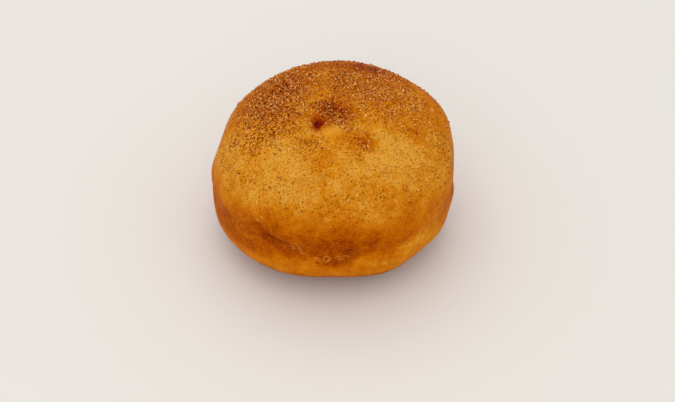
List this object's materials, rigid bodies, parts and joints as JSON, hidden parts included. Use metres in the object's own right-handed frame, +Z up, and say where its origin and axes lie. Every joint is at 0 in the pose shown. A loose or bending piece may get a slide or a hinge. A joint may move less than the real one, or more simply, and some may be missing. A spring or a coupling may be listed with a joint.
{
  "type": "jelly filled doughnut",
  "caption": "Plump fried yeast doughnut with a browned crust dusted with cinnamon sugar, and red jelly in its piping hole.",
  "frame": {"origin": "on the table, under the middle of the doughnut's box", "axes": "+Z up through the crown, +X across its widest side, +Y towards its back; the seam's crease is at the front left"},
  "size_m": [0.0914, 0.088, 0.0563],
  "materials": {
    "crust": "golden brown fried crust, dusted with sugar and cinnamon",
    "jelly": "dark red fruit jelly, wet"
  },
  "bodies": {
    "root": {"dough": "crust", "jelly": "jelly"}
  },
  "joints": []
}
